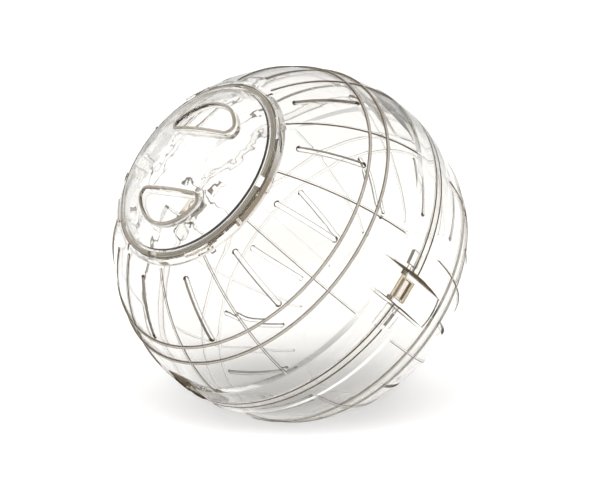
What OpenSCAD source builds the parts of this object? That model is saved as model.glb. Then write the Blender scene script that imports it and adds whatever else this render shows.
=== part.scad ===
// Clear two-part exercise ball for a small pet, with a lift-off twist-lock door.
// All pieces are drawn about the ball's own polar axis (the door axis) and then
// tilted to the way the ball lies on the floor: +Z up, origin at the ball's centre.

/* [Ball] */
// Outer diameter of the spherical shells
ball_d = 178; // [174:1:184]
// Wall thickness of the moulded shells and the door
wall = 1.6; // [1.4:0.1:1.8]
// Height of the door axis above the floor plane, in degrees
door_elevation = 37.04; // [20:0.01:60]
// Spin of the ball about its door axis, in degrees
door_spin = 69.58; // [60:0.01:80]

/* [Ribs and rings] */
// Number of meridian ribs on each half
rib_count = 12; // [12:2:12]
// Width of a meridian rib
rib_w = 1.1; // [0.8:0.1:1.6]
// Height of a meridian rib and of the rim band over the sphere
rib_h = 0.6; // [0.4:0.1:0.8]
// Latitude where the ribs end near the door
rib_lat_top = 54; // [52:0.5:54.5]
// Latitude where the rim band reaches its full height
band_lat = 7; // [6:0.5:9]
// Latitude where the rim band has sloped down to the sphere
band_lat_out = 8.9; // [8.5:0.1:10]
// Latitude of the ring next to the rim band
ring_lat_a = 20.9; // [19:0.1:22]
// Latitude of the ring next to the air slots
ring_lat_b = 27.2; // [26.4:0.1:27.3]
// Width of a ring
ring_w = 1.4; // [1:0.1:1.6]
// Height of a ring over the sphere
ring_h = 0.8; // [0.5:0.1:1]

/* [Air slots] */
// Width of an air slot
slot_w = 2.4; // [2:0.1:3]
// Latitude of the slot's lower end
slot_lat_lo = 28.2; // [28:0.1:30]
// Latitude of the slot's upper end
slot_lat_hi = 50; // [46:0.5:51]

/* [Door and neck] */
// Inner radius of the neck wall around the door
neck_ri = 49; // [48:0.1:50]
// Depth of the neck wall below the shell's outer edge
neck_depth = 3.4; // [3.2:0.1:8]
// Width of the inward flange under the door's rim
flange_w = 2.4; // [2:0.1:2.6]
// Gap between the door and the neck
door_gap = 0.3; // [0.25:0.05:0.4]
// Angle of the first door lug, round the polar axis
lug_angle = 21.9; // [20:0.1:24]
// Width of a door lug, in degrees
lug_span = 7.6; // [7:0.1:9]

/* [Finger pockets] */
// Distance from the door's centre to a pocket's straight side
pocket_in = 17.4; // [16:0.1:19]
// Distance from the door's centre to the far side of a pocket
pocket_out = 32.9; // [31:0.1:34]
// Length of the chord that cuts a pocket's straight side
pocket_len = 44.5; // [42:0.5:46]
// Length left of the straight side after its corners are trimmed
pocket_flat = 39.6; // [37:0.2:41]
// Height of the pocket floors over the ball's centre
pocket_floor_z = 79.4; // [79:0.1:80]
// Direction of the pockets, round the polar axis
pocket_angle = 24.3; // [15:0.1:35]
// Height and width of the bead round a pocket
bead_w = 1.3; // [1:0.1:1.6]

/* [Seam and latches] */
// Angle of the first seam latch, round the polar axis
clip_angle = 15; // [13:0.5:17]
// Length by which the front half's lip overlaps the rear half
lip_l = 4.6; // [4:0.1:5]
// Half of the latch recess's width
recess_hw = 8.05; // [7.9:0.05:8.3]
// Depth of the latch recess at its middle
recess_depth = 3.56; // [3.4:0.02:3.7]
// Tilt of the recess floor towards the rear half, in degrees
recess_tilt = 3.75; // [3:0.05:4.5]
// Half of the latch's width
latch_hw = 5.65; // [5.4:0.05:5.7]
// Radius of the latch's pivot pins
pin_r = 0.75; // [0.7:0.01:0.76]

/* [Hidden] */
$fn = 144;
R = ball_d / 2;
Ri = R - wall;
Rb = R + rib_h;
band_z = R * sin(band_lat);
rib_top_z = R * sin(rib_lat_top);
neck_ro = neck_ri + wall;
neck_top = sqrt(R * R - neck_ro * neck_ro);
flange_z = neck_top - neck_depth + wall;     // upper face of the flange
flange_ri = neck_ri - flange_w;
door_r = neck_ri - door_gap;
skirt_ro = flange_ri - door_gap;
skirt_ri = skirt_ro - 1.5;
skirt_bottom = flange_z - 4.3;
door_top = 0.98 * R;                         // the door's dome is a little flatter
door_edge = sqrt(R * R - door_r * door_r) - 0.2;
door_sag = door_top - door_edge;
door_R = (door_r * door_r + door_sag * door_sag) / (2 * door_sag);
door_c = door_top - door_R;
lug_top = flange_z - wall - 0.3;
lug_h = 2;
// pocket outline: a circle cut by a straight side, with trimmed corners
pk_h = pocket_out - pocket_in;
pk_R = (pocket_len * pocket_len / 4 + pk_h * pk_h) / (2 * pk_h);
pk_c = pocket_out - pk_R;
// seam
lip_t = 1;
lip_gap = 0.15;
gate_r = 3;                                  // moulding gate's disc at the rear pole
seam_z = -0.9;                               // where the halves meet inside a recess
floor_x = (R - recess_depth) / cos(recess_tilt);
pin_u = 1.45;
pin_w = 2;
knuckle_r = 1.25;
pin_gap = 0.05;

// ---- placement ----
module lie() {
  rotate([90 - door_elevation, 0, 0]) rotate([0, 0, door_spin]) children();
}
module at_clip(k) {
  rotate([0, 0, clip_angle + 90 * k]) translate([floor_x, 0, 0]) rotate([0, recess_tilt, 0]) children();
}
// a wedge of a revolved profile, from angle a over span s
module sweep(a, s) { rotate([0, 0, a]) rotate_extrude(angle = s) children(); }
module span(r0, r1, z0, z1) { translate([r0, z0]) square([r1 - r0, z1 - z0]); }
// rim band's half section, with a slope from its full height down to the sphere
module band_disc() {
  a = [Rb * cos(band_lat), Rb * sin(band_lat)];
  b = [(R - 0.06) * cos(band_lat_out), (R - 0.06) * sin(band_lat_out)];
  k = (b[1] - a[1]) / (b[0] - a[0]);
  intersection() {
    ball_disc(Rb);
    polygon([[0, 0], [a[0] - a[1] / k, 0], [b[0] - 2, b[1] - 2 * k], [0, b[1] - 2 * k]]);
  }
}
module ball_disc(r) { intersection() { circle(r); translate([0, -2 * R]) square([2 * R, 4 * R]); } }

// ---- shared features of both halves, drawn for z > 0 ----
module ribs() {
  intersection() {
    difference() { sphere(Rb); sphere(R - 0.8); }
    translate([0, 0, band_z - 0.6]) cylinder(r = 2 * R, h = rib_top_z - band_z + 0.6);
    union() for (k = [0 : rib_count / 2 - 1])
      rotate([0, 0, k * 360 / rib_count]) cube([3 * R, rib_w, 3 * R], center = true);
  }
}
module ring(lat, w, h) {
  rotate_extrude() rotate(lat) translate([R - 0.6, -w / 2]) square([h + 0.6, w]);
}
module slot_cutter() {
  lat = (slot_lat_lo + slot_lat_hi) / 2;
  len = 2 * R * sin((slot_lat_hi - slot_lat_lo) / 2);
  rotate([0, -lat, 0]) translate([R - 9, 0, 0]) rotate([0, 90, 0]) linear_extrude(14) {
    square([len - slot_w, slot_w], center = true);
    translate([len / 2 - slot_w / 2, 0]) circle(d = slot_w);
    translate([slot_w / 2 - len / 2, 0]) circle(d = slot_w);
  }
}
module slots() {
  for (k = [0 : rib_count - 1]) rotate([0, 0, (k + 0.5) * 360 / rib_count]) slot_cutter();
}
// wall of a latch recess: the hollow box grown by the wall, trimmed by the sphere
module pans(z0, z1) {
  intersection() {
    sphere(R);
    translate([0, 0, z0]) cylinder(r = 2 * R, h = z1 - z0);
    union() for (k = [0 : 3]) at_clip(k)
      translate([-wall, -recess_hw - 1.3, -34]) cube([14, 2 * recess_hw + 2.6, 68]);
  }
}
module recesses() {
  for (k = [0 : 3]) at_clip(k) translate([0, -recess_hw, -34]) cube([14, 2 * recess_hw, 68]);
}

// ---- front half: sphere, rim band with outer lip, neck and flange ----
module front_profile() {
  difference() {
    union() {
      difference() {
        intersection() { ball_disc(R); span(0, 2 * R, 0, 2 * R); }
        circle(Ri);
        span(-1, neck_ri, 60, 2 * R);
      }
      difference() {
        intersection() { band_disc(); span(0, 2 * R, 0, 0.25 * R); }
        circle(Ri);
      }
      difference() {
        intersection() { ball_disc(Rb); span(0, 2 * R, -lip_l, 0.5); }
        circle(Rb - lip_t);
      }
      span(neck_ri, neck_ro, neck_top - neck_depth, neck_top - 0.1);
      span(flange_ri, neck_ri + 0.5, flange_z - wall, flange_z);
    }
  }
}
module front_shell() color([0.86, 0.84, 0.8, 0.5]) lie()
  difference() {
    union() {
      difference() {
        union() {
          rotate_extrude() front_profile();
          ribs();
          ring(ring_lat_a, ring_w, ring_h);
          ring(ring_lat_b, ring_w, ring_h);
          pans(seam_z, 30);
          // raised pads on the neck over the lugs' locked places
          for (k = [0 : 3]) sweep(48.9 + 90 * k, 16.2) span(neck_ri + 0.1, neck_ro - 0.2, neck_top - 1, neck_top + 1.7);
          // stops under the flange that end the door's twist
          for (k = [0 : 3]) sweep(61.4 + 90 * k, 3) span(flange_ri + 0.2, neck_ri + 0.2, flange_z - wall - 3, flange_z - wall + 0.2);
          // blocks inside the rim that guide the rear half's lip
          for (k = [0 : 3]) sweep(clip_angle + 7.8 + 90 * k, 4.8) {
            span(Ri - 2.2, Ri + 0.5, 0.2, 3.2);
            span(Ri - 2.2, Ri - 0.3, -3, 0.3);
          }
        }
        recesses();
        slots();
        // lip and wall cut back beside and below the recesses
        for (k = [0 : 3]) rotate([0, 0, clip_angle + 90 * k]) translate([60, -recess_hw - 1.5, -12]) cube([40, 2 * recess_hw + 3, 12 + seam_z]);
        // shorter lip beside each latch, with room for the rear half's raised lip
        for (k = [0 : 3]) sweep(clip_angle - 14.2 + 90 * k, 8.2) {
          span(Ri - 3, Rb + 2, -lip_l - 1, -2);
          span(Ri - 3, Rb - lip_t, -3, 2.65);
        }
        // gaps in the flange that let the door's lugs pass
        for (k = [0 : 3]) sweep(lug_angle - lug_span / 2 - 1 + 90 * k, lug_span + 2) span(flange_ri - 1, neck_ri + 0.3, flange_z - wall - 1, flange_z + 1);
        // alignment nicks in the neck's edge
        for (k = [0 : 3]) rotate([0, 0, 86.7 + 90 * k]) translate([neck_ri - 1, -0.8, neck_top - 1.2]) cube([4, 1.6, 6]);
      }
      // ears that carry the latch pivots, and the pivots' outer bosses
      for (k = [0 : 3]) at_clip(k) {
        for (s = [-1, 1]) {
          translate([-0.3, s > 0 ? latch_hw + 0.3 : -recess_hw - 0.3, 0.5]) cube([pin_u + 0.3, recess_hw - latch_hw, 3]);
          translate([pin_u, s > 0 ? latch_hw + 0.3 : -recess_hw - 0.3, pin_w]) rotate([-90, 0, 0]) cylinder(r = 1.5, h = recess_hw - latch_hw);
        }
        translate([pin_u - 0.4, recess_hw + 0.8, pin_w]) rotate([-90, 0, 0]) cylinder(r = 1.3, h = 2.6);
      }
    }
    for (k = [0 : 3]) at_clip(k)
      translate([pin_u, -recess_hw - 0.1, pin_w]) rotate([-90, 0, 0]) cylinder(r = pin_r + pin_gap, h = 2 * recess_hw + 0.2);
  }

// ---- rear half: closed dome, rim band with inner lip ----
module rear_wall() {
  rotate_extrude() difference() {
    intersection() { ball_disc(R); span(gate_r, 2 * R, -2 * R, -lip_l - lip_gap); }
    circle(Ri);
  }
}
module rear_band() {
  rotate_extrude() difference() {
    intersection() { mirror([0, 1]) band_disc(); span(0, 2 * R, -0.25 * R, -lip_l - lip_gap); }
    circle(R - 0.8);
  }
}
module rear_lip() {
  rotate_extrude() difference() {
    intersection() { ball_disc(Rb - lip_t - lip_gap); span(0, 2 * R, -lip_l - 1, -lip_gap); }
    circle(Ri + 0.05);
  }
}
module lip_gaps(z) {
  for (k = [0 : 3]) rotate([0, 0, clip_angle + 90 * k]) translate([60, -recess_hw - 1.5, z]) cube([40, 2 * recess_hw + 3, 20]);
}
module rear_shell() color([0.83, 0.81, 0.77, 0.5]) lie()
  union() {
    difference() {
      union() {
        rear_wall();
        mirror([0, 0, 1]) ribs();
        ring(-ring_lat_a, ring_w, ring_h);
        ring(-ring_lat_b, ring_w, ring_h);
        ring(-57, 1, 0.45);
      }
      mirror([0, 0, 1]) slots();
      recesses();
    }
    difference() { rear_band(); recesses(); }
    // the inner lip stops short of the recess walls
    difference() { rear_lip(); lip_gaps(-5.8); }
    difference() { pans(-40, seam_z - lip_gap); recesses(); }
    // moulding gate's disc
    translate([0, 0, -R - 0.3]) cylinder(r = gate_r + 0.6, h = wall + 0.2);
    for (k = [0 : 3]) {
      // raised lip beside each latch
      sweep(clip_angle - 13.9 + 90 * k, 7.6) {
        span(Ri + 0.2, Rb - lip_t - lip_gap - 0.2, -1, 2.4);
        span(Ri + 0.2, Rb - 0.3, -lip_l - 0.5, -2 - lip_gap);
      }
      // block inside the rim that guides the front half
      sweep(clip_angle - 12.6 + 90 * k, 4.8) span(Ri - 2.2, Ri + 0.6, -9, -5.9);
      // ledge in the recess that the latch's hook holds behind, and a boss beside it
      at_clip(k) translate([-0.3, -latch_hw + 0.4, -5.4]) cube([1.05, 2 * latch_hw - 0.8, 0.9]);
      at_clip(k) translate([pin_u - 0.6, -recess_hw - 3.4, -4.6]) rotate([-90, 0, 0]) cylinder(r = 1.2, h = 2.8);
    }
  }

// ---- door: dome, rim, skirt with lugs, two finger pockets ----
module pocket_prism(o, z0, z1) {
  intersection() {
    translate([pk_c, 0, z0]) cylinder(r = pk_R + o, h = z1 - z0);
    translate([pocket_in - o, -pocket_flat / 2 - o, z0 - 1]) cube([40, pocket_flat + 2 * o, z1 - z0 + 2]);
  }
}
module pockets(o, z0, z1) {
  for (a = [0, 180]) rotate([0, 0, pocket_angle + a]) pocket_prism(o, z0, z1);
}
module door() color([0.88, 0.86, 0.82, 0.5]) lie() {
  difference() {
    union() {
      difference() {
        union() {
          // dome
          intersection() {
            translate([0, 0, door_c]) sphere(door_R);
            translate([0, 0, flange_z + 0.2]) cylinder(r = door_r, h = 40);
          }
          // beads round the pockets
          intersection() {
            translate([0, 0, door_c]) sphere(door_R + 0.7);
            pockets(bead_w, 76, 100);
          }
        }
        // hollow under the dome, except where the pockets hang
        difference() {
          intersection() {
            translate([0, 0, door_c]) sphere(door_R - wall);
            translate([0, 0, flange_z - 5]) cylinder(r = door_r - wall, h = 40);
          }
          pockets(wall, pocket_floor_z - wall, 100);
        }
      }
      // skirt
      intersection() {
        translate([0, 0, door_c]) sphere(door_R - 0.6);
        translate([0, 0, skirt_bottom]) difference() {
          cylinder(r = skirt_ro, h = 30);
          translate([0, 0, -1]) cylinder(r = skirt_ri, h = 40);
        }
      }
      // lugs
      for (k = [0 : 3]) sweep(lug_angle - lug_span / 2 + 90 * k, lug_span) span(skirt_ro - 0.5, door_r, lug_top - lug_h, lug_top);
    }
    pockets(0, pocket_floor_z, 100);
    // windows in the rim over the lugs
    for (k = [0 : 3]) sweep(lug_angle - lug_span / 2 + 0.5 + 90 * k, lug_span - 1) span(skirt_ro, door_r + 1, lug_top + 0.3, 90);
  }
}

// ---- seam latch: plate with a hook and grip ridges, turning on two moulded pins ----
module seam_latch(k) color([0.8, 0.76, 0.68, 0.6]) lie() at_clip(k) {
  difference() {
    union() {
      translate([pin_u, -latch_hw, pin_w]) rotate([-90, 0, 0]) cylinder(r = knuckle_r, h = 2 * latch_hw);
      translate([0.9, -latch_hw, -6.6]) cube([1.6, 2 * latch_hw, 6.6 + pin_w]);
      translate([0.3, -latch_hw, -6.6]) cube([0.9, 2 * latch_hw, 1]);
      translate([pin_u, -recess_hw + 0.35, pin_w]) rotate([-90, 0, 0]) cylinder(r = pin_r, h = 2 * recess_hw - 0.7);
      for (i = [0 : 2]) translate([2.3, -latch_hw, -6.4 + 0.65 * i]) cube([0.5, 2 * latch_hw, 0.3]);
    }
    translate([1.9, -latch_hw + 1, -3.6]) cube([2, 2 * latch_hw - 2, 4]);
  }
}
module seam_latch_1() seam_latch(0);
module seam_latch_2() seam_latch(1);
module seam_latch_3() seam_latch(2);
module seam_latch_4() seam_latch(3);

front_shell();
rear_shell();
door();
seam_latch_1();
seam_latch_2();
seam_latch_3();
seam_latch_4();
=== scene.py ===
import bpy
import bmesh
import math
from mathutils import Vector, Matrix, noise
from mathutils.geometry import delaunay_2d_cdt


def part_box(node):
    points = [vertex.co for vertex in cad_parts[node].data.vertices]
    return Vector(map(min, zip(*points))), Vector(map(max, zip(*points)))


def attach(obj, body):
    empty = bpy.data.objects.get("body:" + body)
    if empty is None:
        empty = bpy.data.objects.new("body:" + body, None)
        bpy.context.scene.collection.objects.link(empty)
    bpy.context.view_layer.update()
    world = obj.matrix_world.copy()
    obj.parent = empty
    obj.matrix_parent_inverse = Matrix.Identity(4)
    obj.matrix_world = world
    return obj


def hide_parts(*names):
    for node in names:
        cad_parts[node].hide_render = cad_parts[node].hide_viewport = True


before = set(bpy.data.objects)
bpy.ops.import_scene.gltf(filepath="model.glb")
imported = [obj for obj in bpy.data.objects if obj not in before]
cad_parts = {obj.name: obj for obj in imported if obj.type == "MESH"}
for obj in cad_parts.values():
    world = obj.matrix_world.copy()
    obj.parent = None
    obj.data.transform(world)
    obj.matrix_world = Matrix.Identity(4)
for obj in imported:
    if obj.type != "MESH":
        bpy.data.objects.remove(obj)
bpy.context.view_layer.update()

# All shapes below are worked out in millimetres about the ball's own polar axis (the door axis),
# then laid down the way the ball lies on the floor.
MM = 0.001
R = 89.0
WALL = 1.6
LIE = Matrix.Rotation(math.radians(90 - 37.04), 4, "X") @ Matrix.Rotation(math.radians(69.58), 4, "Z")
AXIS = (LIE @ Vector((0, 0, 1))).normalized()


# ---------------------------------------------------------------- node helpers
def new_material(name):
    m = bpy.data.materials.new(name)
    m.use_nodes = True
    t = m.node_tree
    t.nodes.clear()
    return m, t


def node(t, kind, at=(0, 0), **values):
    n = t.nodes.new(kind)
    n.location = at
    for k, v in values.items():
        setattr(n, k, v)
    return n


def maths(t, op, a, b=None, at=(0, 0)):
    n = node(t, "ShaderNodeMath", at, operation=op)
    for i, v in enumerate((a, b)):
        if v is None:
            continue
        if isinstance(v, (int, float)):
            n.inputs[i].default_value = v
        else:
            t.links.new(v, n.inputs[i])
    return n.outputs[0]


def vmaths(t, op, a, b=None, at=(0, 0)):
    n = node(t, "ShaderNodeVectorMath", at, operation=op)
    for i, v in enumerate((a, b)):
        if v is None:
            continue
        if isinstance(v, (tuple, Vector)):
            n.inputs[i].default_value = tuple(v)
        else:
            t.links.new(v, n.inputs[i])
    return n.outputs["Value"] if op in ("DOT_PRODUCT", "LENGTH") else n.outputs["Vector"]


def ramp_between(t, x, lo, hi, at=(0, 0)):
    """0 below lo, 1 above hi, smooth between."""
    n = node(t, "ShaderNodeMapRange", at, interpolation_type="SMOOTHSTEP")
    t.links.new(x, n.inputs["Value"])
    n.inputs["From Min"].default_value = lo
    n.inputs["From Max"].default_value = hi
    return n.outputs["Result"]


def mix_colour(t, fac, a, b, at=(0, 0)):
    n = node(t, "ShaderNodeMix", at, data_type="RGBA", blend_type="MIX")
    t.links.new(fac, n.inputs["Factor"])
    for i, v in ((6, a), (7, b)):
        if isinstance(v, tuple):
            n.inputs[i].default_value = (*v, 1.0)
        else:
            t.links.new(v, n.inputs[i])
    return n.outputs[2]


def plastic_base(name, rough, ior=1.5, density=0.0, ripple=0.0, ripple_scale=60.0, ripple_detail=1.5, ripple_rough=0.5, stretch=(1, 1, 1), inside=(0.80, 0.755, 0.67)):
    """Refracting moulded plastic with a haze that varies over the surface, a moulding ripple and an
    absorbing inside. Returns the material, its tree, the shader, the object coordinates and the haze."""
    m, t = new_material(name)
    out = node(t, "ShaderNodeOutputMaterial", (900, 0))
    p = node(t, "ShaderNodeBsdfPrincipled", (500, 0))
    p.inputs["Transmission Weight"].default_value = 1.0
    p.inputs["IOR"].default_value = ior
    p.inputs["Specular IOR Level"].default_value = 0.0
    t.links.new(p.outputs["BSDF"], out.inputs["Surface"])
    where = node(t, "ShaderNodeTexCoord", (-1700, 0))
    spot = where.outputs["Object"]
    haze = node(t, "ShaderNodeTexNoise", (-900, 500))
    haze.inputs["Scale"].default_value = 38.0
    haze.inputs["Detail"].default_value = 4.0
    t.links.new(spot, haze.inputs["Vector"])
    span = node(t, "ShaderNodeMapRange", (-500, 600))
    span.inputs["To Min"].default_value = rough * 0.5
    span.inputs["To Max"].default_value = rough * 1.5
    t.links.new(haze.outputs["Fac"], span.inputs["Value"])
    t.links.new(span.outputs["Result"], p.inputs["Roughness"])
    if ripple > 0:
        scaled = vmaths(t, "MULTIPLY", spot, stretch, (-900, -850))
        wave = node(t, "ShaderNodeTexNoise", (-650, -850))
        wave.inputs["Scale"].default_value = ripple_scale
        wave.inputs["Detail"].default_value = ripple_detail
        wave.inputs["Roughness"].default_value = ripple_rough
        t.links.new(scaled, wave.inputs["Vector"])
        bump = node(t, "ShaderNodeBump", (-150, -850))
        bump.inputs["Strength"].default_value = 1.0
        bump.inputs["Distance"].default_value = ripple
        t.links.new(wave.outputs["Fac"], bump.inputs["Height"])
        t.links.new(bump.outputs["Normal"], p.inputs["Normal"])
    if density > 0:
        v = node(t, "ShaderNodeVolumeAbsorption", (500, -450))
        v.inputs["Color"].default_value = (*inside, 1.0)
        v.inputs["Density"].default_value = density
        t.links.new(v.outputs["Volume"], out.inputs["Volume"])
    return m, t, p, where, haze.outputs["Fac"]


def varied(t, haze, tint, at=(-300, 400), swing=0.006):
    return mix_colour(t, haze, tint, tuple(min(1.0, c * (1 + swing)) for c in tint), at)


def band(t, x, lo, hi, soft, at=(0, 0)):
    """1 between lo and hi, 0 outside, with soft edges."""
    a = ramp_between(t, x, lo - soft, lo + soft, at)
    b = ramp_between(t, x, hi - soft, hi + soft, (at[0], at[1] - 150))
    return maths(t, "SUBTRACT", a, b, at=(at[0] + 150, at[1]))


def strongest(t, masks):
    out = masks[0]
    for m in masks[1:]:
        out = maths(t, "MAXIMUM", out, m)
    return out


def product(t, *terms):
    out = terms[0]
    for m in terms[1:]:
        out = maths(t, "MULTIPLY", out, m)
    return out


def edge_shade_lines(t, spot, half, lines):
    """Mask of painted shade: the dark lines that light bending at moulded edges shows in clear plastic, painted
    as colour along ribs and rings, round the slots, along the latch recesses and the seam. Worked out in
    the ball's own frame, in millimetres. half is 1 for the front shell and -1 for the rear shell."""
    to_mm = 1.0 / MM
    x = vmaths(t, "DOT_PRODUCT", spot, tuple(LIE @ Vector((to_mm, 0, 0))))
    y = vmaths(t, "DOT_PRODUCT", spot, tuple(LIE @ Vector((0, to_mm, 0))))
    z = vmaths(t, "DOT_PRODUCT", spot, tuple(LIE @ Vector((0, 0, to_mm))))
    z = maths(t, "MULTIPLY", z, float(half))
    r = maths(t, "MULTIPLY", vmaths(t, "LENGTH", spot), to_mm)
    rho = maths(t, "SQRT", maths(t, "ADD", maths(t, "MULTIPLY", x, x), maths(t, "MULTIPLY", y, y)))
    phi = maths(t, "ARCTAN2", y, x)
    sin_lat = maths(t, "DIVIDE", z, r)

    def beside(step, start):
        """Distance to the nearest of the meridians start + k step, positive to the east."""
        n = node(t, "ShaderNodeMath", operation="WRAP")
        t.links.new(maths(t, "SUBTRACT", phi, math.radians(start)), n.inputs[0])
        n.inputs[1].default_value = math.radians(step / 2)
        n.inputs[2].default_value = -math.radians(step / 2)
        return maths(t, "MULTIPLY", n.outputs[0], rho)

    def flip(m, k=1.0):
        return maths(t, "SUBTRACT", k, m)

    # ribs: painted shade lines, stronger along one edge than the other
    d = beside(30, 0)
    on_rib = product(t, band(t, r, R + 0.25, R + 0.66, 0.06), band(t, z, 13.9, 72.5, 0.2))
    ribs = product(t, on_rib, strongest(t, [band(t, d, -0.60, -0.14, 0.06), maths(t, "MULTIPLY", band(t, d, 0.36, 0.62, 0.06), 0.5)]))
    # rings: painted shade along both edges, and a slightly lighter painted shade over the top between them
    rings = []
    for lat in (20.9, 27.2):
        s0, c0 = math.sin(math.radians(lat)), math.cos(math.radians(lat))
        e = maths(t, "ABSOLUTE", maths(t, "MULTIPLY", maths(t, "SUBTRACT", sin_lat, s0), R / c0))
        line = strongest(t, [maths(t, "MULTIPLY", band(t, e, 0.42, 0.76, 0.06), 0.9), maths(t, "MULTIPLY", flip(ramp_between(t, e, 0.5, 0.6)), 0.62)])
        rings.append(product(t, line, ramp_between(t, r, R + 0.45, R + 0.6)))
    # slots: a painted shade outline with dark round ends, darker along one long side
    mid = math.radians((28.2 + 50) / 2)
    reach = R * math.sin(math.radians((50 - 28.2) / 2)) - 1.2
    d = beside(30, 15)
    along = maths(t, "ABSOLUTE", maths(t, "MULTIPLY", maths(t, "SUBTRACT", maths(t, "ARCSINE", sin_lat), mid), R))
    past = maths(t, "MAXIMUM", maths(t, "SUBTRACT", along, reach), 0.0)
    c = maths(t, "SQRT", maths(t, "ADD", maths(t, "MULTIPLY", d, d), maths(t, "MULTIPLY", past, past)))
    at_end = ramp_between(t, past, 0.0, 0.25)
    near_edge = maths(t, "ADD", maths(t, "MULTIPLY", flip(ramp_between(t, d, -0.4, 0.4)), 0.6), 0.3)
    brims = strongest(t, [band(t, r, R - 1.7, R - 1.4, 0.05), band(t, r, R - 0.28, R + 0.2, 0.05)])
    long_sides = product(t, band(t, c, 1.0, 1.4, 0.06), near_edge, brims)
    round_ends = product(t, band(t, c, 1.0, 1.8, 0.08), at_end, band(t, r, R - 1.7, R + 0.2, 0.05))
    slot_wall = product(t, flip(ramp_between(t, c, 1.1, 1.25)), band(t, r, R - 1.75, R + 0.1, 0.05))
    slots = strongest(t, [long_sides, round_ends])
    # latch recesses: a painted shade line that is thickest at the seam
    side = beside(90, CLIP_AT)
    v = maths(t, "ABSOLUTE", side)
    upper = ramp_between(t, side, -1.0, 1.0)
    off_foot = maths(t, "ADD", z, 5.6 * half)         # the floor leans, so its deepest place is behind the seam
    depth = maths(t, "SUBTRACT", 1.0, maths(t, "DIVIDE", maths(t, "MULTIPLY", off_foot, off_foot), 24.9 * 24.9))
    width = maths(t, "MULTIPLY", depth, maths(t, "ADD", maths(t, "MULTIPLY", upper, 0.55), 0.75 if half > 0 else 0.95))
    over = maths(t, "SUBTRACT", v, 7.95)
    inside = product(t, ramp_between(t, over, -0.05, 0.05), flip(ramp_between(t, maths(t, "SUBTRACT", over, width), -0.05, 0.05)))
    recess = product(t, inside, ramp_between(t, r, R - 0.5, R - 0.2), ramp_between(t, depth, 0.0, 0.05))
    masks = [maths(t, "MULTIPLY", strongest(t, [ribs] + rings + [slots]), lines), recess]
    beyond_recess = ramp_between(t, v, 8.2, 8.4)
    if half > 0:        # painted shade lines at the lip's edge over the rear half, and at the rear half's edge under it
        on_band = ramp_between(t, r, R + 0.35, R + 0.5)
        masks.append(product(t, band(t, z, -4.8, -3.75, 0.08), on_band, beyond_recess))
        masks.append(product(t, maths(t, "MULTIPLY", band(t, z, -4.2, -0.2, 0.3), 0.12), on_band, beyond_recess))
        masks.append(product(t, band(t, z, -0.75, 0.25, 0.06), on_band, beyond_recess))
    # a painted shade line on the far side is seen from within the wall, which spreads it out and pales it, so it is
    # painted paler there
    within = node(t, "ShaderNodeNewGeometry").outputs["Backfacing"]
    pale = flip(maths(t, "MULTIPLY", within, 0.90))
    # the painted shade on cut faces fades out at the shallow rear end of a recess instead of showing a cut edge
    first, last = (16.0, 22.0) if half > 0 else (25.0, 34.0)
    fades = product(t, ramp_between(t, z, first, first + 2.0), flip(ramp_between(t, z, last, last + 1.0)), flip(ramp_between(t, v, 8.6, 9.0)))
    return product(t, strongest(t, masks), pale), slot_wall, flip(fades), pale


CLIP_AT = 15.0


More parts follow.
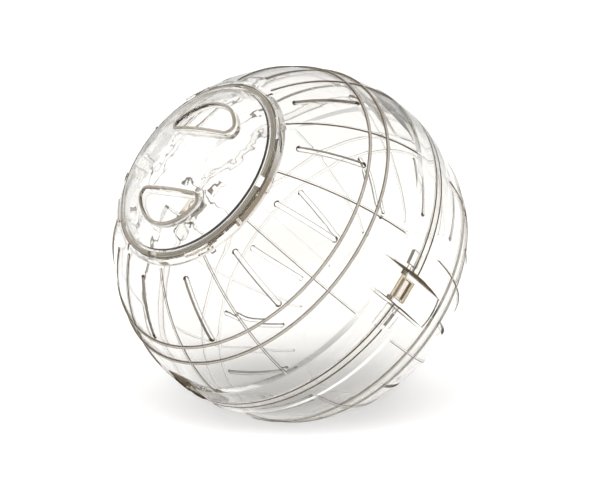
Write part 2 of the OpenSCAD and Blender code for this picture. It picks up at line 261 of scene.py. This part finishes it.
def shell_plastic(name, half, lines, tint, side, deep, proud, side_block, deep_block, proud_block, **base):
    """Clear moulded plastic of the half shells, with painted shade. Faces that stand across the wall gather
    the light that travels inside it, so they are painted smoky brown as shade: lightly on the sides of ribs and
    rings, deeper on the cut faces of slots, recesses and lips. Raised ribs and rings get a little painted shade over
    the bare wall."""
    m, t, p, where, haze = plastic_base(name, **base)
    spot = where.outputs["Object"]
    radial = vmaths(t, "NORMALIZE", spot, at=(-1450, -100))
    facing = maths(t, "ABSOLUTE", vmaths(t, "DOT_PRODUCT", radial, where.outputs["Normal"], at=(-1250, -100)), at=(-1100, -100))
    length = vmaths(t, "LENGTH", spot, at=(-1250, -300))
    height = vmaths(t, "DOT_PRODUCT", spot, tuple(AXIS), at=(-1250, -500))
    reach = maths(t, "SQRT", maths(t, "SUBTRACT", maths(t, "MULTIPLY", length, length, at=(-1100, -400)), maths(t, "MULTIPLY", height, height, at=(-1100, -600)), at=(-1000, -500)), at=(-950, -600))
    off_neck = ramp_between(t, reach, 51.2 * MM, 51.7 * MM, (-850, -600))
    across = maths(t, "SUBTRACT", 1.0, ramp_between(t, facing, 0.55, 0.82, (-900, -100)), at=(-700, -100))
    drawn, slot_wall, off_end, pale = edge_shade_lines(t, spot, half, lines)
    across = product(t, across, off_neck, off_end, maths(t, "ADD", maths(t, "MULTIPLY", pale, 0.5), 0.5))
    cut = maths(t, "SUBTRACT", 1.0, ramp_between(t, length, (R - 0.05) * MM, (R + 0.12) * MM, (-900, -250)), at=(-700, -250))
    far_out = ramp_between(t, length, (R + 0.63) * MM, (R + 0.72) * MM, (-1100, -300))
    off_band = ramp_between(t, maths(t, "ABSOLUTE", height, at=(-1100, -500)), 0.0125, 0.0145, (-900, -500))
    raised = product(t, far_out, off_band, pale)
    # painted shade colour of the faces across the wall: side on ribs and rings, deep on cut faces
    across_shade_col = mix_colour(t, cut, side, deep, (-300, 0))
    # raised ribs and rings get a light painted shade (proud)
    col = mix_colour(t, raised, varied(t, haze, tint), proud, (-100, 200))
    col = mix_colour(t, across, col, across_shade_col, (100, 100))
    # near the neck the colour is painted pure white: painted light that lifts the grey which light led along the neck
    # wall gives
    near_neck = ramp_between(t, reach, 49.6 * MM, 50.4 * MM, (-850, -750))
    below = ramp_between(t, height, 60 * MM, 64 * MM, (-850, -900))
    on_neck = maths(t, "MULTIPLY", maths(t, "SUBTRACT", 1.0, near_neck, at=(-650, -750)), below, at=(-500, -800))
    col = mix_colour(t, on_neck, col, (1.0, 1.0, 1.0), (250, 100))
    # slot walls get a lighter painted shade than other cut faces
    col = mix_colour(t, slot_wall, col, (0.88, 0.86, 0.82), (350, 100))
    # edge lines painted near black-brown as shade
    col = mix_colour(t, drawn, col, (0.085, 0.060, 0.032), (450, 100))
    t.links.new(col, p.inputs["Base Color"])
    # the painted shade also takes its share out of transmission, so that its colour shows
    share = node(t, "ShaderNodeMapRange", (-300, -200))
    share.inputs["To Min"].default_value = side_block
    share.inputs["To Max"].default_value = deep_block
    t.links.new(cut, share.inputs["Value"])
    a = maths(t, "MULTIPLY", across, share.outputs["Result"], at=(-100, -200))
    a = maths(t, "MULTIPLY", a, maths(t, "SUBTRACT", 1.0, maths(t, "MULTIPLY", slot_wall, 0.8)), at=(-50, -200))
    b = maths(t, "MULTIPLY", raised, proud_block, at=(-100, -350))
    both = maths(t, "MAXIMUM", maths(t, "MAXIMUM", a, b, at=(50, -250)), maths(t, "MULTIPLY", drawn, 0.92), at=(100, -250))
    t.links.new(maths(t, "SUBTRACT", 1.0, both, at=(200, -250)), p.inputs["Transmission Weight"])
    return m


def even_plastic(name, tint, block=0.0, swing=0.006, **base):
    """One even tint of clear plastic, with a share of light that it scatters instead of passing."""
    m, t, p, where, haze = plastic_base(name, **base)
    t.links.new(varied(t, haze, tint, swing=swing), p.inputs["Base Color"])
    p.inputs["Transmission Weight"].default_value = 1.0 - block
    return m


def rim_plastic_painted_shade(name, tint, block, circles, **base):
    """The door rim's plastic with painted shade: a darker tint over the rim and fine dark circles painted
    where its edges gather the light. circles are (inner radius, outer radius, strength) in millimetres about the polar
    axis."""
    m, t, p, where, haze = plastic_base(name, **base)
    spot = where.outputs["Object"]
    height = vmaths(t, "DOT_PRODUCT", spot, tuple(AXIS))
    length = vmaths(t, "LENGTH", spot)
    reach = maths(t, "SQRT", maths(t, "SUBTRACT", maths(t, "MULTIPLY", length, length), maths(t, "MULTIPLY", height, height)))
    reach = maths(t, "MULTIPLY", reach, 1.0 / MM)
    drawn = strongest(t, [maths(t, "MULTIPLY", band(t, reach, a, b, 0.05), k) for a, b, k in circles])
    t.links.new(mix_colour(t, drawn, varied(t, haze, tint), (0.10, 0.078, 0.05), (250, 100)), p.inputs["Base Color"])
    t.links.new(maths(t, "SUBTRACT", 1.0 - block, maths(t, "MULTIPLY", drawn, 0.9 - block)), p.inputs["Transmission Weight"])
    return m


def finish_mesh(name, bm, materials, sharp=35.0):
    """Make an object of a bmesh drawn in the ball's own frame: laid down, in metres, smooth except at real edges."""
    bmesh.ops.recalc_face_normals(bm, faces=bm.faces[:])
    lim = math.radians(sharp)
    for f in bm.faces:
        f.smooth = True
    for e in bm.edges:
        e.smooth = len(e.link_faces) == 2 and e.calc_face_angle(0.0) < lim
    bmesh.ops.transform(bm, matrix=Matrix.Scale(MM, 4) @ LIE, verts=bm.verts[:])
    me = bpy.data.meshes.new(name)
    bm.to_mesh(me)
    bm.free()
    for mat in materials:
        me.materials.append(mat)
    ob = bpy.data.objects.new(name, me)
    bpy.context.collection.objects.link(ob)
    return ob

# ---------------------------------------------------------------- materials
TINT = (0.976, 0.971, 0.961)
# front and rear shells: the side, deep and proud colours and blocks are painted shade, with a lighter side shade on
# the rear shell
shell_mat = shell_plastic("clear_shell_plastic", 1, 1.0, TINT, (0.20, 0.155, 0.105), (0.28, 0.235, 0.17), (0.85, 0.82, 0.78), 0.70, 0.64, 0.10, rough=0.008, density=28.0, ripple=0.00002, ripple_scale=40.0)
rear_mat = shell_plastic("clear_rear_plastic", -1, 0.95, TINT, (0.78, 0.75, 0.70), (0.22, 0.185, 0.145), (0.95, 0.94, 0.92), 0.05, 0.5, 0.03, rough=0.008, density=28.0, ripple=0.00002, ripple_scale=40.0)
door_mat = even_plastic("clear_door_plastic", (0.988, 0.985, 0.98), rough=0.008, density=30.0, ripple=0.000026, ripple_scale=90.0, ripple_detail=3.0)
door_skirt_mat = even_plastic("clear_door_skirt", (0.995, 0.993, 0.99), rough=0.008, density=40.0, swing=0.002)
# door rim band: a tan tint with painted dark circles, all painted shade, over a darker absorbing inside
door_rim_shade_mat = rim_plastic_painted_shade("door_rim_painted_shade", (0.80, 0.755, 0.65), 0.22, [(46.30, 46.54, 0.85), (47.22, 47.6, 0.85), (48.35, 48.70, 1.0)], rough=0.02, density=24.0, inside=(0.70, 0.64, 0.54))
# painted shade on the rim's outer wall and the lug windows' ends
door_edge_shade_mat = even_plastic("door_edge_painted_shade", (0.74, 0.69, 0.60), block=0.2, rough=0.05, swing=0.2)
# painted shade on the beads round the pockets
door_bead_shade_mat = even_plastic("door_bead_painted_shade", (0.29, 0.255, 0.20), block=0.42, rough=0.03, swing=0.05)
latch_mat = even_plastic("clear_latch_plastic", (0.955, 0.895, 0.80), block=0.06, rough=0.03, density=30.0, ripple=0.00002, ripple_scale=150.0)
# painted shade: a dark outline round the latch's sunken panel, and smoky sides and slopes of the latch
latch_outline_shade_mat = even_plastic("latch_outline_painted_shade", (0.10, 0.075, 0.045), block=0.85, rough=0.06, swing=0.2)
latch_edge_shade_mat = even_plastic("latch_edge_painted_shade", (0.76, 0.66, 0.50), block=0.22, rough=0.06, swing=0.2)


# ---------------------------------------------------------------- door
DOOR_C = -10.9827          # centre of the dome's sphere on the polar axis; set from the ball's radius and the door's rim below
DOOR_R = 98.2
DOOR_RIM = 48.7
SKIRT_O, SKIRT_I = 46.3, 44.8
FLANGE_Z = 71.415
LUG_TOP = FLANGE_Z - WALL - 0.3
LUG_H = 2.0
SKIRT_END = FLANGE_Z - 4.3
FLOOR_Z = 79.4
LUG_MID = 21.9
POCKET_TURN = 24.3


def dome_numbers():
    """Dome centre and radius, from the ball's radius and the door's rim."""
    top = 0.98 * R
    edge = math.sqrt(R * R - DOOR_RIM ** 2) - 0.2
    sag = top - edge
    r = (DOOR_RIM ** 2 + sag * sag) / (2 * sag)
    return top - r, r


DOOR_C, DOOR_R = dome_numbers()


def pocket_core(step=0.8, rc=3.0):
    """Outline of the half-moon pocket as points with outward normals: a convex core that every offset
    loop grows from, so the corners stay round."""
    h = 32.9 - 17.4
    big = (44.5 ** 2 / 4 + h * h) / (2 * h)
    c = 32.9 - big
    r = big - rc
    x = 17.4 + rc
    y = math.sqrt(r * r - (x - c) ** 2)
    a1 = math.atan2(y, x - c)
    pts = []
    n = max(8, int(2 * a1 * (r + rc) / step))
    for i in range(n + 1):                      # round side
        a = -a1 + 2 * a1 * i / n
        pts.append((c + r * math.cos(a), r * math.sin(a), a))
    k = 9
    for i in range(1, k):                       # upper corner
        a = a1 + (math.pi - a1) * i / k
        pts.append((x, y, a))
    n = int(2 * y / step)
    for i in range(n + 1):                      # straight side
        pts.append((x, y - 2 * y * i / n, math.pi))
    for i in range(1, k):                       # lower corner
        a = math.pi + (math.pi - a1) * i / k
        pts.append((x, -y, a))
    return pts, rc


CORE, CORE_RC = pocket_core()


def pocket_loop(offset, turn):
    t = math.radians(POCKET_TURN + turn)
    ct, st = math.cos(t), math.sin(t)
    out = []
    for x, y, a in CORE:
        px = x + (CORE_RC + offset) * math.cos(a)
        py = y + (CORE_RC + offset) * math.sin(a)
        out.append((px * ct - py * st, px * st + py * ct))
    return out


def ripple_at(x, y, seed):
    """Moulding waviness of the door's dome, in millimetres: long lazy waves with short sharper ones."""
    p = Vector((x, y, seed * 31.7))
    slow = noise.noise(p * 0.055)
    mid = noise.noise(p * 0.16 + Vector((5, 9, 2)))
    fine = noise.noise(p * 0.42 + Vector((1, 4, 7)))
    return 0.20 * slow + 0.075 * mid + 0.020 * fine


def build_door():
    loops = {}          # tag -> list of (x, y)
    verts, tags, cons = [], [], []

    def add_loop(points, tag):
        base = len(verts)
        for p in points:
            verts.append(Vector(p))
            tags.append(tag)
        n = len(points)
        for i in range(n):
            cons.append((base + i, base + (i + 1) % n))
        return list(range(base, base + n))

    # circles, sampled every degree and on both sides of each window's edge
    angles = sorted({round(k + 0.4, 3) for k in range(360)} | {round((a + 90 * j) % 360, 3) for j in range(4) for a in (18.28, 25.52)})

    def circle(rho):
        return [(rho * math.cos(math.radians(a)), rho * math.sin(math.radians(a))) for a in angles]

    circles = [42.5, 43.8, 44.55, 44.72, 44.80, 44.95, 45.55, 46.15, 46.26, 46.34, 46.7, 47.06, 47.14, 47.35, 47.9, 48.25, 48.48, 48.62, 48.70]
    for rho in circles:
        loops[rho] = add_loop(circle(rho), ("ring", rho))
    offsets = [-2.4, -1.6, -1.0, -0.6, -0.35, -0.18, -0.08, 0.0, 0.12, 0.32, 0.6, 0.85, 1.06, 1.2, 1.34, 1.5, 1.64, 1.9, 2.6]
    for turn in (0, 180):
        for o in offsets:
            add_loop(pocket_loop(o, turn), ("pocket", o))

    def pocket_sd(x, y):
        """Signed distance to the nearer pocket's outline, from the loops' own construction."""
        best = 1e9
        for turn in (0, 180):
            t = math.radians(POCKET_TURN + turn)
            u = x * math.cos(t) + y * math.sin(t)
            v = -x * math.sin(t) + y * math.cos(t)
            h = 32.9 - 17.4
            big = (44.5 ** 2 / 4 + h * h) / (2 * h)
            c = 32.9 - big
            r = big - CORE_RC
            x0 = 17.4 + CORE_RC
            y0 = math.sqrt(r * r - (x0 - c) ** 2)
            # distance to the convex core (circle part and chord)
            du, dv = u - c, v
            dist = math.hypot(du, dv)
            in_core = dist <= r and u >= x0
            if in_core:
                sd = -min(r - dist, u - x0)
            else:
                cand = []
                if dist > 1e-9:
                    qx, qy = c + du / dist * r, dv / dist * r
                    if qx >= x0:
                        cand.append(math.hypot(u - qx, v - qy))
                vy = max(-y0, min(y0, v))
                cand.append(math.hypot(u - x0, v - vy))
                sd = min(cand)
            best = min(best, sd - CORE_RC)
        return best

    # filling points on the dome and the pocket floors
    step = 1.05
    rows = int(2 * 42 / (step * 0.866)) + 1
    for j in range(rows):
        y = -42 + j * step * 0.866
        for i in range(int(84 / step) + 1):
            x = -42 + i * step + (0.5 * step if j % 2 else 0)
            if math.hypot(x, y) > 41.9:
                continue
            sd = pocket_sd(x, y)
            if -2.4 - 0.45 < sd < 2.6 + 0.45:
                continue
            verts.append(Vector((x, y)))
            tags.append(("fill", sd))
    out = delaunay_2d_cdt(verts, cons, [], 1, 1e-5)
    pts, faces, orig = out[0], out[2], out[3]

    def in_window(a):
        a = (a - LUG_MID + 45) % 90 - 45
        return abs(a) <= 3.55

    def dome(rho, r):
        return DOOR_C + math.sqrt(max(r * r - rho * rho, 0))

    wall_steps = [(-0.6, 0.0), (-0.35, 0.05), (-0.18, 0.25), (-0.08, 0.8)]
    bead = [(0.0, 0.40), (0.12, 0.60), (0.32, 0.70), (0.6, 0.72), (0.85, 0.70), (1.06, 0.60), (1.2, 0.42), (1.34, 0.16), (1.5, 0.03), (1.64, 0.0)]

    def curve(table, x):
        if x <= table[0][0]:
            return table[0][1]
        for (a, b), (c, d) in zip(table, table[1:]):
            if x <= c:
                return b + (d - b) * (x - a) / (c - a)
        return table[-1][1]

    rim = [(47.9, 0.0), (48.25, 0.03), (48.48, 0.12), (48.62, 0.28), (48.70, 0.55)]

    def z_top(x, y, rho, a, sd):
        if rho > 46.3 and in_window(a):
            return LUG_TOP
        z = dome(rho, DOOR_R)
        if rho < 44.5:
            fade = min(1.0, (44.5 - rho) / 2.0)
            z += fade * ripple_at(x, y, 1)
        if rho > 47.9:
            z -= curve(rim, rho)
        if sd < -0.04:
            f = FLOOR_Z + curve(wall_steps, sd) + 0.25 * ripple_at(x, y, 3)
            return f
        if sd < 1.64:
            z += curve(bead, sd)
        return z

    def z_bot(x, y, rho, a, sd):
        inner = dome(rho, DOOR_R - WALL)
        if rho > 46.3 and in_window(a):
            return LUG_TOP - LUG_H
        if rho > 47.1:
            return FLANGE_Z + 0.2
        if 44.76 < rho < 46.3:
            return SKIRT_END + (0.25 if rho > 46.2 or rho < 44.85 else 0.0)
        if sd < 1.58:
            under = FLOOR_Z - WALL
            if sd > 1.42:
                under += 0.3
            return min(inner, under)
        if rho < 44.5:
            fade = min(1.0, (44.5 - rho) / 2.0)
            inner += fade * ripple_at(x, y, 2)
        return inner

    bm = bmesh.new()
    top, bot = [], []
    for p in pts:
        x, y = p
        rho = math.hypot(x, y)
        a = math.degrees(math.atan2(y, x)) % 360
        sd = pocket_sd(x, y) if rho < 43 else 99
        zt, zb = z_top(x, y, rho, a, sd), z_bot(x, y, rho, a, sd)
        top.append(bm.verts.new((x, y, zt)))
        bot.append(bm.verts.new((x, y, zb)))
    for f in faces:
        bm.faces.new([top[i] for i in f])
        bm.faces.new([bot[i] for i in reversed(f)])
    # outer wall between the two boundary loops
    back = {}
    for i, names in enumerate(orig):
        for k in names:
            back[k] = i
    edge = [back[k] for k in loops[48.70]]
    n = len(edge)
    for i in range(n):
        a, b = edge[i], edge[(i + 1) % n]
        bm.faces.new((top[a], bot[a], bot[b], top[b]))
    bm.normal_update()
    # painted shade: smoky on faces that stand across the wall near the rim, taupe on the beads and pocket walls
    ball_axis = Vector((0, 0, 1))
    for f in bm.faces:
        c = f.calc_center_median()
        rho = math.hypot(c.x, c.y)
        slope = abs(f.normal.dot(Vector((c.x, c.y, c.z - DOOR_C)).normalized()))
        up = f.normal.z
        if rho > 46.3 and rho < 48.75 and up > 0.5 and c.z > FLANGE_Z + 1.0:
            f.material_index = 3                # rim's top: light is led down into the skirt from here, so it gets the rim's painted shade
        elif rho > 47.0 and abs(up) < 0.5 and c.z > FLANGE_Z:
            f.material_index = 1                # rim's outer wall and its corners: painted shade
        elif rho > 46.25 and abs(f.normal.x * c.y - f.normal.y * c.x) > 0.6 * rho:
            f.material_index = 1                # ends of the lug windows: painted shade
        elif rho > 44.7:
            f.material_index = 4
        elif rho < 43 and c.z > dome(rho, DOOR_R) - 0.1:
            sd = pocket_sd(c.x, c.y)
            if 0.0 < sd < 1.5:
                f.material_index = 2
    return finish_mesh("door_lid", bm, [door_mat, door_edge_shade_mat, door_bead_shade_mat, door_rim_shade_mat, door_skirt_mat])


door = build_door()
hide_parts("door")
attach(door, "door")


# ---------------------------------------------------------------- seam latches
CLIP_A = 15.0
TILT = 3.75
FLOOR_X = (R - 3.56) / math.cos(math.radians(TILT))
LATCH_HW = 5.65


def at_clip(k):
    return Matrix.Rotation(math.radians(CLIP_A + 90 * k), 4, "Z") @ Matrix.Translation((FLOOR_X, 0, 0)) @ Matrix.Rotation(math.radians(TILT), 4, "Y")


def build_latch(k):
    """A latch drawn in its recess: u stands out of the recess floor, v runs along the seam, w along the meridian."""
    bm = bmesh.new()
    pin_u, pin_w, kr = 1.45, 2.0, 1.25
    # stations along w, from the hook's tip to the far side of the knuckle
    ws = [-6.60, -6.57, -6.48, -6.36]
    w = -6.30
    ridges = []
    while w < -4.25:                            # fine grip ridges
        ridges.append(w)
        ws += [w, w + 0.06, w + 0.15, w + 0.24]
        w += 0.34
    ws += [-4.10, -3.98, -3.90, -3.82, -3.70, -3.0, -2.0, -1.2, -0.4, 0.12, 0.26, 0.34, 0.42, 0.56]
    for i in range(0, 19):
        ws.append(pin_w + kr * math.sin(math.radians(-60 + i * 150 / 18)))
    ws = sorted({round(x, 4) for x in ws if x < pin_w + kr - 0.0005}) + [pin_w + kr - 0.0004]
    vs = [-5.65, -5.61, -5.50, -5.34, -4.78, -4.66, -4.60, -4.48, -3.4, -2.2, -1.0, 0.0, 1.0, 2.2, 3.4, 4.48, 4.60, 4.66, 4.78, 5.34, 5.50, 5.61, 5.65]
    end = {5.65: 0.22, 5.61: 0.12, 5.50: 0.03, 5.34: 0.0}

    def top(w, v):
        u = 2.5
        if w > pin_w - 0.75:
            d = w - pin_w
            u = max(min(2.5, 2.7), 0) if w < pin_w else 0
            u = pin_u + math.sqrt(max(kr * kr - d * d, 0.0)) if w >= pin_w - 0.75 else u
        if w < -6.3:
            u -= {-6.60: 0.26, -6.57: 0.14, -6.48: 0.04}.get(round(w, 2), 0.0)
        for r in ridges:
            if r < w <= r + 0.241:
                s = (w - r) / 0.24
                u += 0.26 * math.sin(math.pi * min(max(s, 0.05), 0.95)) if 0.1 < s < 0.95 else 0.0
        av = abs(v)
        if av < 4.7 and -3.95 < w < 0.30:       # panel sunk into the face
            u -= 0.6 if (av < 4.63 and -3.86 < w < 0.22) else 0.3
        return u - end.get(round(av, 2), 0.0)

    def bottom(w, v):
        av = abs(v)
        e = end.get(round(av, 2), 0.0)
        if w <= -5.55:
            return 0.3 + e * 0.5 + (0.12 if w < -6.59 else 0.0)
        if w > pin_w - 1.12:
            d = w - pin_w
            return pin_u - math.sqrt(max(kr * kr - d * d, 0.0)) + e * 0.5
        return 0.9 + e * 0.5

    if -5.54 not in ws:
        ws = sorted(ws + [-5.56, -5.48])
    grid_t, grid_b = [], []
    for w in ws:
        grid_t.append([bm.verts.new((top(w, v), v, w)) for v in vs])
        grid_b.append([bm.verts.new((min(bottom(w, v), top(w, v) - 0.05), v, w)) for v in vs])
    nw, nv = len(ws), len(vs)
    for i in range(nw - 1):
        for j in range(nv - 1):
            bm.faces.new((grid_t[i][j], grid_t[i + 1][j], grid_t[i + 1][j + 1], grid_t[i][j + 1]))
            bm.faces.new((grid_b[i][j], grid_b[i][j + 1], grid_b[i + 1][j + 1], grid_b[i + 1][j]))
    for i in range(nw - 1):
        for j in (0, nv - 1):
            bm.faces.new((grid_t[i][j], grid_b[i][j], grid_b[i + 1][j], grid_t[i + 1][j]))
    for j in range(nv - 1):
        for i in (0, nw - 1):
            bm.faces.new((grid_t[i][j], grid_t[i][j + 1], grid_b[i][j + 1], grid_b[i][j]))
    plate = len(bm.faces)
    # pivot pins with domed ends
    for s in (-1, 1):
        rings = []
        for v, r in ((5.62, 0.75), (6.2, 0.75), (7.25, 0.75), (7.5, 0.70), (7.62, 0.55), (7.68, 0.3)):
            rings.append([bm.verts.new((pin_u + r * math.cos(math.radians(15 * q)), s * v, pin_w + r * math.sin(math.radians(15 * q)))) for q in range(24)])
        for a, b in zip(rings, rings[1:]):
            for q in range(24):
                bm.faces.new((a[q], a[(q + 1) % 24], b[(q + 1) % 24], b[q]))
        bm.faces.new(rings[0])
        bm.faces.new(rings[-1])
    bm.normal_update()
    # side faces, the far end, and one slope of each grip ridge get painted shade; the sunken panel's edges a darker
    # painted shade outline
    for f in bm.faces:
        c = f.calc_center_median()
        if abs(f.normal.x) < 0.8 and (abs(f.normal.y) > 0.5 or abs(f.normal.z) > 0.5):
            f.material_index = 1
        if c.z > 0.9 and c.y > 4.6 or c.z > 2.9:
            f.material_index = 1
        if -6.35 < c.z < -4.05 and c.x > 2.0 and f.normal.z > 0.3:
            f.material_index = 1
        av = abs(c.y)
        if c.x > 1.7 and -4.1 < c.z < 0.42 and av < 4.78 and (av > 4.48 or c.z < -3.82 or c.z > 0.12):
            f.material_index = 2                # painted shade outline of the sunken panel
    bmesh.ops.transform(bm, matrix=at_clip(k), verts=bm.verts[:])
    return finish_mesh(f"seam_latch_clip_{k + 1}", bm, [latch_mat, latch_edge_shade_mat, latch_outline_shade_mat], sharp=40)


for k in range(4):
    clip = build_latch(k)
    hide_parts(f"seam_latch_{k + 1}")
    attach(clip, f"latch_{k + 1}")

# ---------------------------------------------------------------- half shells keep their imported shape
for name, mat in (("front_shell", shell_mat), ("rear_shell", rear_mat)):
    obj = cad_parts[name]
    obj.data.materials.clear()
    obj.data.materials.append(mat)

# ---------------------------------------------------------------- floor
FLOOR_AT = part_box("rear_shell")[0].z
bm = bmesh.new()
half, cells = 6.0, 24
pts = []
for i in range(cells + 1):
    pts.append([bm.verts.new((-half + 2 * half * i / cells, -half + 2 * half * j / cells, FLOOR_AT)) for j in range(cells + 1)])
for i in range(cells):
    for j in range(cells):
        bm.faces.new((pts[i][j], pts[i + 1][j], pts[i + 1][j + 1], pts[i][j + 1]))
me = bpy.data.meshes.new("studio_floor")
bm.to_mesh(me)
bm.free()
floor = bpy.data.objects.new("studio_floor", me)
bpy.context.collection.objects.link(floor)
m, t = new_material("floor_paper")
out = node(t, "ShaderNodeOutputMaterial", (600, 0))
p = node(t, "ShaderNodeBsdfPrincipled", (200, 0))
grain = node(t, "ShaderNodeTexNoise", (-400, 0))
grain.inputs["Scale"].default_value = 30.0
t.links.new(mix_colour(t, grain.outputs["Fac"], (0.925, 0.925, 0.925), (0.93, 0.93, 0.93), (-100, 0)), p.inputs["Base Color"])
p.inputs["Roughness"].default_value = 0.95
p.inputs["Specular IOR Level"].default_value = 0.05
t.links.new(p.outputs["BSDF"], out.inputs["Surface"])
me.materials.append(m)

# ---------------------------------------------------------------- light: a soft white studio
world = bpy.data.worlds.new("studio")
bpy.context.scene.world = world
world.use_nodes = True
t = world.node_tree
t.nodes.clear()
wo = node(t, "ShaderNodeOutputWorld", (600, 0))
bg = node(t, "ShaderNodeBackground", (400, 0))
tc = node(t, "ShaderNodeTexCoord", (-800, 0))
# bright ahead of the camera and at both sides, dim behind it, so that clear edges turn dark
AZ = math.radians(49.44)
ahead = vmaths(t, "DOT_PRODUCT", tc.outputs["Generated"], (-math.sin(AZ), math.cos(AZ), 0.0), at=(-600, 0))
ramp = node(t, "ShaderNodeValToRGB", (-300, 0))
span = node(t, "ShaderNodeMapRange", (-450, 0))
span.inputs["From Min"].default_value = -1.0
span.inputs["From Max"].default_value = 1.0
t.links.new(ahead, span.inputs["Value"])
cr = ramp.color_ramp
cr.elements[0].position = 0.12
cr.elements[0].color = (0.46, 0.39, 0.29, 1)
cr.elements[1].position = 0.38
cr.elements[1].color = (1.0, 1.0, 1.0, 1)
t.links.new(span.outputs["Result"], ramp.inputs["Fac"])
left = vmaths(t, "DOT_PRODUCT", tc.outputs["Generated"], (-math.cos(AZ), -math.sin(AZ), 0.0), at=(-600, -300))
glow = ramp_between(t, left, 0.1, 0.9, (-400, -300))
t.links.new(mix_colour(t, glow, ramp.outputs["Color"], (1.45, 1.45, 1.45), (-100, -100)), bg.inputs["Color"])
bg.inputs["Strength"].default_value = 0.71
t.links.new(bg.outputs["Background"], wo.inputs["Surface"])

toward = Vector((math.sin(AZ), -math.cos(AZ), 0))     # level direction from the ball to the camera
lamp = bpy.data.lights.new("broad_softbox", "SUN")
lamp.energy = 2.32
lamp.angle = math.radians(60)
lamp_ob = bpy.data.objects.new("broad_softbox", lamp)
bpy.context.collection.objects.link(lamp_ob)
lean = toward * math.sin(math.radians(34)) + Vector((0, 0, 1)) * math.cos(math.radians(34))
lamp_ob.rotation_euler = lean.to_track_quat("Z", "Y").to_euler()
fill = bpy.data.lights.new("low_front_fill", "AREA")      # a narrow beam that opens the shadow in front of the ball
fill.shape = "RECTANGLE"
fill.size = 0.16
fill.size_y = 0.04
fill.spread = math.radians(26)
fill.energy = 0.152
fill_ob = bpy.data.objects.new("low_front_fill", fill)
bpy.context.collection.objects.link(fill_ob)
fill_ob.location = toward * 0.50 + Vector((0, 0, FLOOR_AT + 0.12))
aim = toward * 0.015 + Vector((0, 0, FLOOR_AT))
fill_ob.rotation_euler = (fill_ob.location - aim).to_track_quat("Z", "Y").to_euler()
paper = bpy.data.collections.new("paper_only")
paper.objects.link(floor)
fill_ob.light_linking.receiver_collection = paper
for ob in (lamp_ob, fill_ob):
    ob.visible_camera = False
    ob.visible_transmission = False
    ob.visible_glossy = False

# ---------------------------------------------------------------- camera at the photo's angle
cam = bpy.data.cameras.new("camera")
cam.sensor_width = 36.0
cam.sensor_fit = "HORIZONTAL"
cam.lens = 2489.53 / 600 * 36.0
cam.clip_start = 0.01
cam.clip_end = 60.0
cam_obj = bpy.data.objects.new("camera", cam)
bpy.context.collection.objects.link(cam_obj)
az, el = math.radians(49.44), math.radians(12.0)
right = Vector((math.cos(az), math.sin(az), 0))
fwd = Vector((-math.sin(az) * math.cos(el), math.cos(az) * math.cos(el), -math.sin(el)))
up = right.cross(fwd)
c = Vector((-0.05389, -0.03353, 14.09526)) * R * MM
pos = -(right * c.x - up * c.y + fwd * c.z)
cam_obj.matrix_world = Matrix((
    (right.x, up.x, -fwd.x, pos.x),
    (right.y, up.y, -fwd.y, pos.y),
    (right.z, up.z, -fwd.z, pos.z),
    (0, 0, 0, 1)))
bpy.context.scene.camera = cam_obj

sc = bpy.context.scene
sc.view_settings.view_transform = "Standard"
sc.cycles.max_bounces = 64
sc.cycles.transmission_bounces = 64
sc.cycles.transparent_max_bounces = 16
sc.cycles.glossy_bounces = 64
sc.cycles.diffuse_bounces = 3

bpy.context.view_layer.update()
